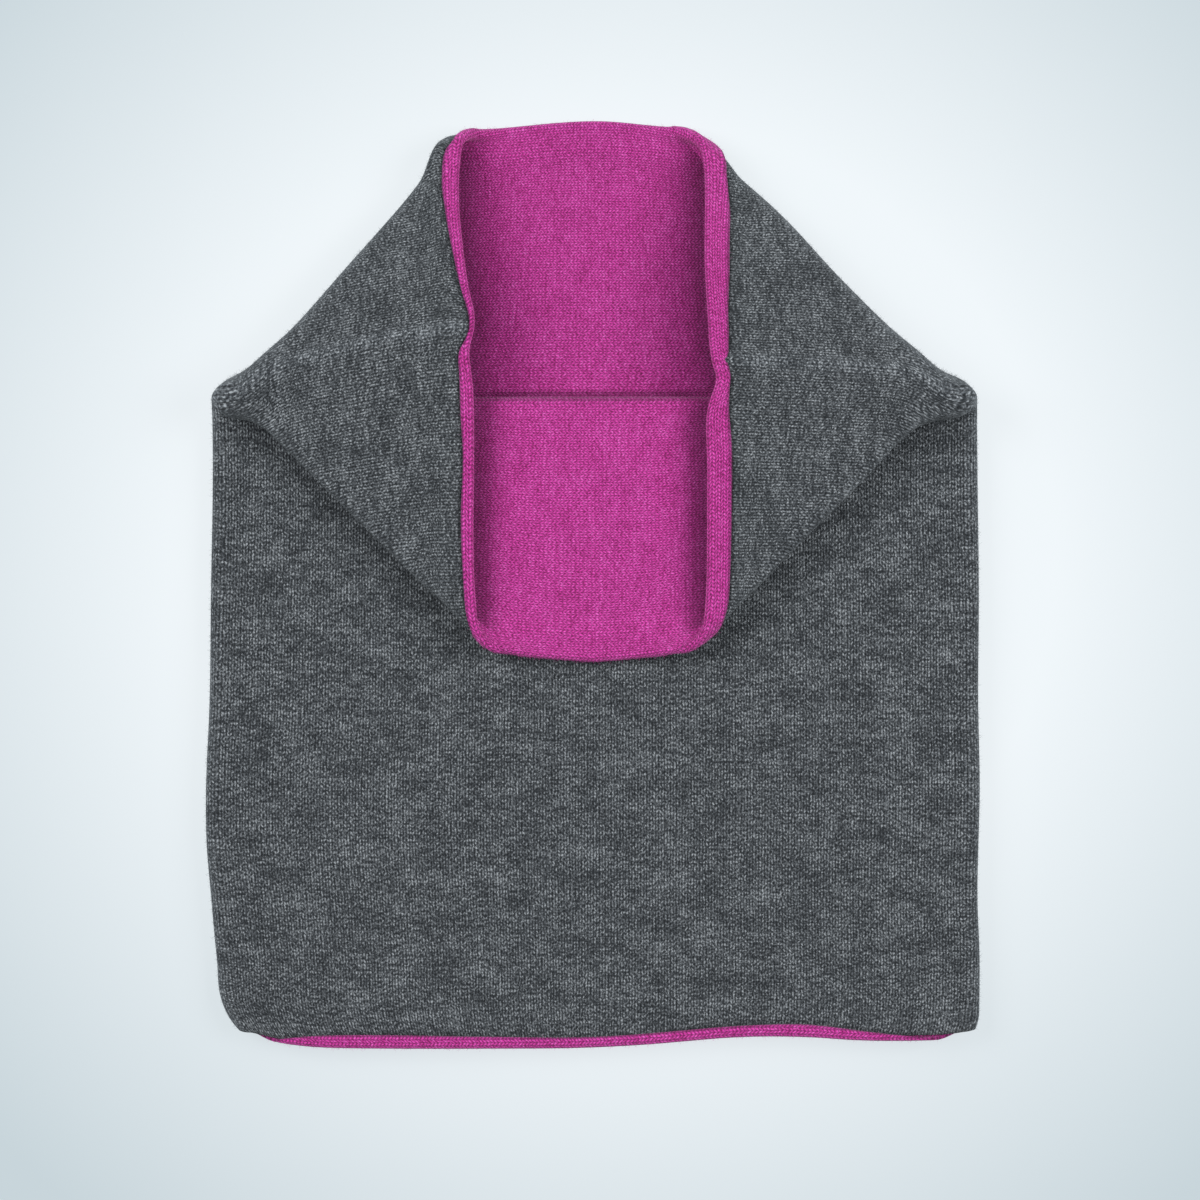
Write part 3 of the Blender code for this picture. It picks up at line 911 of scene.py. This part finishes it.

# %% [markdown]
# ## Shade inside the mouth
#
# Deep knit looks darker than soft lamps alone make it, because light is lost between its hairs. That
# shade is painted into the lining's colour, worked out from distances: it lies below the rim on the back
# and the front, along the fold, faintly on the back past the fold, and at the strip's sewn end, all in
# one field. A second field, strip, marks the turned strips, whose gaps get a little more painted shade.

# %% Fields of the lining
RIM_SHADE_FADES = (1 * MM, 13 * MM)
RIM_SHADE_SETS_IN = (100 * MM, FOLD_FROM_HEM)
RIM_SHADE_ENDS = 9 * MM
PANELS_FROM_CREASE = 2.0
BACK_SHADE = 0.11
BACK_SHADE_SETS_IN = 10 * MM
FOLD_SHADE_HALF_WIDTH = 1.3 * MM
FOLD_SHADE_AT = (FOLD_FROM_HEM + 1.5 * MM, FOLD_FROM_HEM + 1.0 * MM)
FOLD_SHADE_SETS_IN = (1.5, 2.0)

rim_part = (STATIONS >= 2) & (STATIONS <= 4)
from_rim = np.zeros_like(wall[..., 0])
for side, sign in ((RIGHT, 1), (LEFT, -1)):
    edge = wall[-1, rim_part & (SIDES == side)]
    edge = edge[np.argsort(edge[:, 1])]
    rim_x = np.interp(wall[..., 1], edge[:, 1], sign * edge[:, 0])
    of_side = sign * wall[..., 0] >= 0
    from_rim[of_side] = (rim_x - sign * wall[..., 0])[of_side]
stations_off = np.abs(STATIONS - 3)
# Painted shade below the rim on the back and front panels, fading away from the rim.
rim_shade = 1 - ease(from_rim, *RIM_SHADE_FADES)
rim_shade = rim_shade * (stations_off > PANELS_FROM_CREASE) * ease(V[:, None], *RIM_SHADE_SETS_IN)
rim_shade = rim_shade * (1 - ease(V[:, None], V[-1] - RIM_SHADE_ENDS, V[-1]))
# Painted shade along the fold inside the mouth.
from_fold = V[:, None] - np.where(STATIONS < 3, *FOLD_SHADE_AT)
fold_shade = np.exp(-(from_fold / FOLD_SHADE_HALF_WIDTH) ** 2) * ease(stations_off, *FOLD_SHADE_SETS_IN)
# Faint painted shade on the back panel past the fold.
on_back = (STATIONS < 1) * ease(V[:, None], FOLD_FROM_HEM, FOLD_FROM_HEM + BACK_SHADE_SETS_IN)

inside = slice(STRIP_STEPS, -STRIP_STEPS)
shade = np.zeros((len(lining_points), COLUMNS))
shade[inside] = np.maximum(np.maximum(rim_shade, fold_shade), BACK_SHADE * on_back)
# Painted shade at the strips' sewn ends.
shade[[0, -1]] = 1.0
shade[[1, -2]] = 0.5
on_strip = np.ones_like(shade)
on_strip[inside] = 0.0
print("share of the lining in shade:", round(float((shade > 0.5).mean()), 3))

# %% [markdown]
# ## The magenta lining
#
# It is knitted the other way on, with its stitch columns running round the tube, so the columns lie
# level inside the mouth and follow the rim on the turned strip. It needs the same grid with the turned
# ends added to its first and last rows.

# %% Make the lining
lining_quarters = np.concatenate([
    np.repeat(quarters[:1], STRIP_STEPS, axis=0),
    quarters,
    np.repeat(quarters[-1:], STRIP_STEPS, axis=0),
])
lining = knitted_sheet(
    "magenta_lining",
    lining_points,
    stitch_map(closed(lining_path) / MAGENTA_WALE, lining_quarters * MAGENTA_COURSES_ROUND / 4),
    {"painted_shade": shade, "strip": on_strip},
    {0: TAPERED, -1: TAPERED},
)
print("lining faces", len(lining.data.polygons))

# %% [markdown]
# ## Writing shader maths as Python
#
# A stitch is drawn with a dozen sums. Wrapping a socket in a small class lets those be written as plain
# expressions, and each operator adds one Math node. Any other node comes from the one method `node`.
# What is the same all over a surface is set on the shader's own sockets instead.

# %% A socket that Python's operators work on


class Wire:
    """A node's output. Sums with numbers or other wires add Math nodes to its tree."""

    def __init__(self, tree, socket=None):
        self.tree = tree
        self.socket = socket

    def node(self, kind, settings=None, values=None, output=0):
        """Adds a node: first its settings, then its sockets' values or links. Gives one output's wire."""
        made = self.tree.nodes.new(kind)
        settings = dict(settings or {})
        stops = settings.pop("stops", None)
        for name, setting in settings.items():
            setattr(made, name, setting)
        if stops:
            while len(made.color_ramp.elements) < len(stops):
                made.color_ramp.elements.new(0.5)
            for element, (place, colour) in zip(made.color_ramp.elements, stops):
                element.position = place
                element.color = (*colour, 1.0)
        for name, value in (values or {}).items():
            if isinstance(value, Wire):
                self.tree.links.new(value.socket, made.inputs[name])
            else:
                made.inputs[name].default_value = value
        return Wire(self.tree, made.outputs[output])

    def feed(self, node, name):
        """Links this wire to a node's socket."""
        self.tree.links.new(self.socket, node.inputs[name])

    def maths(self, operation, *values):
        """A Math node on this wire and the values."""
        return self.node("ShaderNodeMath", {"operation": operation}, dict(enumerate(values)))

    def __add__(self, other):
        return self.maths("ADD", self, other)

    def __radd__(self, other):
        return self.maths("ADD", other, self)

    def __sub__(self, other):
        return self.maths("SUBTRACT", self, other)

    def __rsub__(self, other):
        return self.maths("SUBTRACT", other, self)

    def __mul__(self, other):
        return self.maths("MULTIPLY", self, other)

    def __rmul__(self, other):
        return self.maths("MULTIPLY", other, self)

    def __abs__(self):
        return self.maths("ABSOLUTE", self)

    def fraction(self):
        """What is left after the whole number."""
        return self.maths("FRACT", self)


def principled(name, sockets):
    """A material, its Principled shader with some sockets set, and a wire to build its nodes on."""
    material = bpy.data.materials.new(name)
    material.use_nodes = True
    shader = material.node_tree.nodes["Principled BSDF"]
    for socket, value in sockets.items():
        shader.inputs[socket].default_value = value
    return material, shader, Wire(material.node_tree)


operators = [name for name, part in vars(Wire).items() if name.endswith("__") and callable(part)]
operators.remove("__init__")
print("operators:", operators)

# %% [markdown]
# ## The knit
#
# The face of plain knitting is made of columns of small Vs. Each V has two slanted legs of yarn, and
# between the legs and between the columns the surface falls into gaps. With UVs counted in stitches,
# the place across a column gives the leg, and the place along it, shifted by the slant, gives the loop.
# The height so drawn goes to a Bump node and also paints shade into the colour of the gaps.
#
# The yarn itself is a mixture: dyed wool of light and dark hairs, spun together unevenly. Noise that is
# drawn out along the yarn gives the hairs and the uneven spinning, and a broad, weak one the patches
# that show on the whole panel.

# %% Nodes that draw a stitch
LEG_SLANT = 0.85
NOISES = {
    "wobble": ((1.1, 0.9), 1.0, 3.0),
    "hairs": ((2.6, 1.5), 2.0, 11.0),
    "unevenness": ((0.45, 0.8), 2.0, 27.0),
    "patches": ((0.13, 0.16), 2.0, 40.0),
}


def hump(share):
    """0 at both ends of a span and 1 in its middle: 1 less the square of twice the share less 1."""
    centred = share * 2 - 1
    return 1 - centred * centred


def soft_noise(graph, across, along, scales, detail, shift):
    """Noise with its own scales across and along the stitch columns, shifted to a place of its own."""
    place = graph.node("ShaderNodeCombineXYZ", values={
        0: across * scales[0] + shift,
        1: along * scales[1],
    })
    return graph.node("ShaderNodeTexNoise", {"noise_dimensions": "2D"}, {
        "Vector": place,
        "Scale": 1.0,
        "Detail": detail,
        "Roughness": 0.6,
    })


def stitch_height(across, along, wobble, look):
    """The leg's hump less the gap between columns, times the loop's hump, each as deep as the look says."""
    side = abs((across + wobble).fraction() - 0.5) * 2
    leg = hump(side) * look["leg_depth"] + (1 - look["leg_depth"])
    column_gap = side * side * side * side * look["wale_depth"]
    loop = hump((along - side * LEG_SLANT + wobble).fraction())
    return (leg - column_gap) * (loop * look["loop_depth"] + (1 - look["loop_depth"]))


print("kinds of noise:", sorted(NOISES))

# %% [markdown]
# ## From stitch to cloth
#
# The material mixes the noises to a tone, reads the yarn's colour off a ramp, and darkens it with painted
# shade in the gaps and by the shade field that the sheets carry, and a painted highlight lightens the old
# side crease. Wool is matt, with a soft sheen from its hairs, and both layers share that. How deep the
# stitches are and how mixed the yarn is comes from each one's look.

# %% The knit material
BUMP_HEIGHT = 0.35 * MM
WOOL = {
    "Roughness": 0.95,
    "Specular IOR Level": 0.15,
    "Sheen Roughness": 0.6,
}


def knit_material(name, yarn, look):
    """A Principled material whose colour and bump draw every stitch from the UV map in stitches."""
    material, shader, graph = principled(name, WOOL)
    shader.inputs["Sheen Weight"].default_value = look["sheen"]
    shader.inputs["Sheen Tint"].default_value = (*look["sheen_tint"], 1.0)
    uv = graph.node("ShaderNodeUVMap", {"uv_map": "stitches"})
    across = graph.node("ShaderNodeSeparateXYZ", values={0: uv}, output=0)
    along = graph.node("ShaderNodeSeparateXYZ", values={0: uv}, output=1)
    noise = {kind: soft_noise(graph, across, along, *values) for kind, values in NOISES.items()}
    fields = {
        field: graph.node("ShaderNodeAttribute", {"attribute_name": field}, output="Fac")
        for field in ("strip", "painted_shade", "crease")
    }

    wobble = (noise["wobble"] - 0.5) * look["wobble"]
    height = stitch_height(across, along, wobble, look)
    tone = noise["hairs"] * look["hairs"] + noise["unevenness"] * look["unevenness"]
    tone = tone + noise["patches"] * look["patches"]
    tone = tone - (look["hairs"] + look["unevenness"] + look["patches"]) * 0.5 + 0.5
    yarn_colour = graph.node("ShaderNodeValToRGB", {"stops": yarn}, {"Fac": tone})

    # Painted shade in the gaps between stitches, a little more on the turned strips.
    light = 1 - (1 - height) * (fields["strip"] * look["strip_gap_shade"] + look["gap_shade"])
    # Painted shade from the sheet's shade field.
    light = light * (1 - fields["painted_shade"] * look["painted_shade_depth"])
    # Painted highlight along the old side crease.
    light = light + fields["crease"] * look["crease_highlight"]
    shaded = graph.node("ShaderNodeVectorMath", {"operation": "SCALE"}, {0: yarn_colour, "Scale": light})
    bump = graph.node("ShaderNodeBump", values={
        "Height": height + noise["hairs"] * look["hair_relief"],
        "Distance": BUMP_HEIGHT,
        "Strength": look["bump"],
    })
    shaded.feed(shader, "Base Color")
    bump.feed(shader, "Normal")
    return material


print("set on the shader itself:", WOOL)

# %% [markdown]
# ## The two yarns
#
# The grey is a melange of nearly black and pale wool, so its ramp is long and its hairs count for much.
# The magenta is dyed in one colour and varies little. Each ramp runs from the darkest hairs to the
# lightest, and each look says how deep, uneven, fuzzy and shiny the knit is.

# %% Yarns and looks of the two layers
GREY_YARN = (
    (0.20, (0.021, 0.025, 0.030)),
    (0.42, (0.069, 0.077, 0.086)),
    (0.58, (0.129, 0.143, 0.157)),
    (0.80, (0.342, 0.370, 0.393)),
)
MAGENTA_YARN = (
    (0.20, (0.360, 0.015, 0.172)),
    (0.45, (0.620, 0.042, 0.345)),
    (0.60, (0.755, 0.066, 0.446)),
    (0.85, (0.900, 0.158, 0.630)),
)
# Besides the knit's depth and yarn, each look sets how strong its painted shade and painted highlight are.
GREY_LOOK = {
    "wobble": 0.3,
    "leg_depth": 0.9,
    "wale_depth": 0.1,
    "loop_depth": 0.6,
    "gap_shade": 0.95,
    "strip_gap_shade": 0.0,
    "hairs": 1.6,
    "unevenness": 0.55,
    "patches": 0.4,
    "painted_shade_depth": 0.6,
    "crease_highlight": 0.20,
    "hair_relief": 0.4,
    "bump": 0.8,
    "sheen": 0.25,
    "sheen_tint": (0.62, 0.68, 0.72),
}
MAGENTA_LOOK = {
    "wobble": 0.3,
    "leg_depth": 0.75,
    "wale_depth": 0.0,
    "loop_depth": 0.85,
    "gap_shade": 0.78,
    "strip_gap_shade": 0.08,
    "hairs": 1.1,
    "unevenness": 0.45,
    "patches": 0.25,
    "painted_shade_depth": 0.56,
    "crease_highlight": 0.0,
    "hair_relief": 0.4,
    "bump": 0.8,
    "sheen": 0.3,
    "sheen_tint": (0.95, 0.45, 0.78),
}
grey_knit = knit_material("grey_melange_knit", GREY_YARN, GREY_LOOK)
magenta_knit = knit_material("magenta_wool_knit", MAGENTA_YARN, MAGENTA_LOOK)
outer.data.materials.append(grey_knit)
lining.data.materials.append(magenta_knit)
print("knit materials:", grey_knit.name, magenta_knit.name)

# %% [markdown]
# ## The fuzz
#
# Brushed wool is never sharp at its edge: fine hairs stand out of every stitch. A hair system would be
# lost on export, so each hair is a tapered three-sided sliver, bent over once, and all of a layer's
# are one mesh. They are denser where the cloth turns over, because that is where they show, and there
# are none so low that they would reach through the table.

# %% Where the hairs stand
HAIR_LENGTH = (0.8 * MM, 2.3 * MM)
HAIRS_EVERYWHERE = 0.25
HAIRS_ON_EDGE = 2.0


def scattered(points, directions, weights, count, seed):
    """Random grid cells picked by weight, and a random spot in each, as roots and outward directions."""
    random = np.random.default_rng(seed)
    chance = weights.reshape(-1) / weights.sum()
    cell = random.choice(chance.size, size=count, p=chance)
    row, column = np.divmod(cell, weights.shape[1])
    following = (column + 1) % points.shape[1]
    up = random.random((count, 1))
    on = random.random((count, 1))

    def spot(grid):
        low = grid[row, column] * (1 - on) + grid[row, following] * on
        high = grid[row + 1, column] * (1 - on) + grid[row + 1, following] * on
        return low * (1 - up) + high * up

    return spot(points), unit(spot(directions)), random


def cell_weights(points):
    """Each cell's area, raised where the sheet stands on edge, and 0 where hairs would reach the table."""
    across = np.roll(points, -1, axis=1)[:-1] - points[:-1]
    up = points[1:] - points[:-1]
    square = np.cross(up, across)
    area = np.linalg.norm(square, axis=-1)
    on_edge = 1 - np.abs(square[..., 2]) / np.maximum(area, 1e-12)
    clear_of_table = points[:-1, :, 2] > HAIR_LENGTH[1]
    return area * (HAIRS_EVERYWHERE + HAIRS_ON_EDGE * on_edge) * clear_of_table


def strip_outwards(points):
    """Directions off a turned strip: its steps along the wall crossed with those round the tube."""
    return -unit(np.cross(np.gradient(points, axis=0), np.roll(points, -1, axis=1) - points))


strip_normals = np.concatenate([strip_outwards(hem_points[::-1]), -normals, strip_outwards(mouth_points)])
print("directions off the lining:", strip_normals.shape[:2])

# %% [markdown]
# ## One hair
#
# Its lower half leans out of the cloth, its upper half bends further over, both by chance. Seven points
# and seven faces are enough, because a hair is thinner than a pixel in most pictures. Its wool is a
# little paler than the knit, since no shade lies between loose hairs.

# %% The hairs' mesh and wool
HAIR_RADIUS = 0.028 * MM
HALFWAY_RADIUS = 0.7
LOWER_HALF = (0.8, 0.75)
UPPER_HALF = (0.6, 0.7)
HAIR_QUADS = np.array([[0, 1, 4, 3], [1, 2, 5, 4], [2, 0, 3, 5]])
HAIR_ENDS = np.array([[3, 4, 6], [4, 5, 6], [5, 3, 6], [2, 1, 0]])
TUFT_SCALE = 900.0
DARK_TUFT = 0.6
PALE_TUFT = 1.4
HAIR_WOOL = {
    "Roughness": 0.9,
    "Specular IOR Level": 0.1,
}


def hair_mesh(name, roots, outwards, random, material):
    """Slivers: a ring of three points at the root, a smaller one halfway, and a tip that leans over."""
    count = len(roots)
    lean = unit(random.normal(size=(count, 3)))
    low, high = HAIR_LENGTH
    length = low + (high - low) * random.random((count, 1)) ** 2
    start = unit(outwards * LOWER_HALF[0] + lean * LOWER_HALF[1])
    halfway = roots + start * length * 0.5
    bent = unit(start * UPPER_HALF[0] + unit(random.normal(size=(count, 3))) * UPPER_HALF[1])
    tip = halfway + bent * length * 0.5
    side = unit(np.cross(start, lean + 0.01))
    other = np.cross(start, side)
    angles = np.arange(3) * 2 * np.pi / 3
    circle = side[:, None] * np.cos(angles)[:, None] + other[:, None] * np.sin(angles)[:, None]
    points = np.concatenate([
        roots[:, None] + circle * HAIR_RADIUS,
        halfway[:, None] + circle * HAIR_RADIUS * HALFWAY_RADIUS,
        tip[:, None],
    ], axis=1)
    base = np.arange(count)[:, None, None] * points.shape[1]
    faces = (base + HAIR_QUADS).reshape(-1, 4).tolist() + (base + HAIR_ENDS).reshape(-1, 3).tolist()
    mesh = bpy.data.meshes.new(name)
    mesh.from_pydata(points.reshape(-1, 3).tolist(), [], faces)
    mesh.materials.append(material)
    mesh.shade_smooth()
    return placed(name, mesh)


def hair_material(name, colour):
    """Matt wool whose colour changes a little from place to place, so that no two tufts look alike."""
    material, shader, graph = principled(name, HAIR_WOOL)
    place = graph.node("ShaderNodeTexCoord", output="Object")
    change = graph.node("ShaderNodeTexNoise", {}, {"Vector": place, "Scale": TUFT_SCALE, "Detail": 1.0})
    shade = graph.node("ShaderNodeMix", {"data_type": "RGBA"}, {
        "Factor": change,
        6: (*(DARK_TUFT * part for part in colour), 1.0),
        7: (*(PALE_TUFT * part for part in colour), 1.0),
    }, output=2)
    shade.feed(shader, "Base Color")
    return material


grey_hair = hair_material("grey_wool_hairs", (0.16, 0.18, 0.195))
magenta_hair = hair_material("magenta_wool_hairs", (0.62, 0.12, 0.40))
print("hair materials:", grey_hair.name, magenta_hair.name)

# %% [markdown]
# ## Fuzz on both layers
#
# The hairs are rooted half a knit's thickness off each sheet. The turned strips get three times as many
# as their size asks for, because their edges are what the eye sees first.

# %% Scatter the hairs
GREY_HAIRS = 11000
MAGENTA_HAIRS = 9000
STRIP_HAIRS = 3

surface = grey_points + normals * KNIT / 2
roots, outwards, random = scattered(surface, normals, cell_weights(surface), GREY_HAIRS, 5)
grey_fuzz = hair_mesh("grey_fuzz", roots, outwards, random, grey_hair)

surface = lining_points + strip_normals * KNIT / 2
weights = cell_weights(surface)
weights[:STRIP_STEPS] *= STRIP_HAIRS
weights[-STRIP_STEPS:] *= STRIP_HAIRS
roots, outwards, random = scattered(surface, strip_normals, weights, MAGENTA_HAIRS, 9)
magenta_fuzz = hair_mesh("magenta_fuzz", roots, outwards, random, magenta_hair)
print("hairs:", GREY_HAIRS, "grey,", MAGENTA_HAIRS, "magenta")

# %% [markdown]
# ## The table
#
# The snood lies on a plain pale table. Lamps bright enough to make it as pale as it should be would
# wash out the wool, so most of its brightness is painted light, a glow of its own, which fades towards
# the corners as painted shade.

# %% The table
FLOOR_REACH = 3.0
FLOOR_BELOW = 0.1 * MM
GLOW_MIDDLE = (0.01, 0.01, 0.0)
GLOW_SCALE = 2.5
FLOOR_GLOW = (
    (0.40, (0.725, 0.770, 0.795)),
    (0.78, (0.435, 0.515, 0.550)),
)
GLOWING_TABLE = {
    "Base Color": (0.12, 0.125, 0.13, 1.0),
    "Emission Strength": 1.0,
    "Roughness": 0.9,
    "Specular IOR Level": 0.1,
}

floor_mesh = bpy.data.meshes.new("floor")
corners = [(-1, -1), (1, -1), (1, 1), (-1, 1)]
corners = [(x * FLOOR_REACH, y * FLOOR_REACH, -FLOOR_BELOW) for x, y in corners]
floor_mesh.from_pydata(corners, [], [(0, 1, 2, 3)])
floor = placed("floor", floor_mesh)
floor_material, floor_shader, graph = principled("glowing_table", GLOWING_TABLE)
# Painted light: the glow is brightest in the middle and dims towards the corners.
place = graph.node("ShaderNodeTexCoord", output="Object")
from_middle = graph.node("ShaderNodeVectorMath", {"operation": "DISTANCE"}, {
    0: place,
    1: GLOW_MIDDLE,
}, output="Value")
glow = graph.node("ShaderNodeValToRGB", {"stops": FLOOR_GLOW}, {"Fac": from_middle * GLOW_SCALE})
glow.feed(floor_shader, "Emission Color")
floor_mesh.materials.append(floor_material)
print("table material:", floor_material.name)

# %% [markdown]
# ## The light
#
# Soft light comes from all round, and two large soft lamps, the left one a little stronger, stand at
# both sides, so that the folds read without hard shadows.

# %% Sky and lamps
SKY_COLOUR = (0.95, 0.98, 1.0, 1.0)
SKY_STRENGTH = 0.34
LAMP_SIZE = 1.0

world = bpy.data.worlds.new("sky")
world.use_nodes = True
world.node_tree.nodes["Background"].inputs["Color"].default_value = SKY_COLOUR
world.node_tree.nodes["Background"].inputs["Strength"].default_value = SKY_STRENGTH
bpy.context.scene.world = world


def soft_lamp(name, place, power):
    """A square soft lamp that faces the middle of the table."""
    data = bpy.data.lights.new(name, "AREA")
    data.shape = "SQUARE"
    data.size = LAMP_SIZE
    data.energy = power
    lamp = placed(name, data)
    lamp.location = place
    x, y, z = place
    lamp.rotation_euler = (np.arctan2(np.hypot(x, y), z), 0, np.arctan2(y, x) + np.pi / 2)


soft_lamp("lamp_left", (-1.3, 0.5, 1.3), 26)
soft_lamp("lamp_right", (1.3, 0.2, 1.3), 24)
bpy.context.scene.view_settings.view_transform = "Standard"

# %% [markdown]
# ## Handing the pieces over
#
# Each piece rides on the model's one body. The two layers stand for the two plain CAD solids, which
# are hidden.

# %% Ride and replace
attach(outer, "root")
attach(lining, "root")
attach(grey_fuzz, "root")
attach(magenta_fuzz, "root")
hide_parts("outer_tube")
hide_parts("lining_tube")
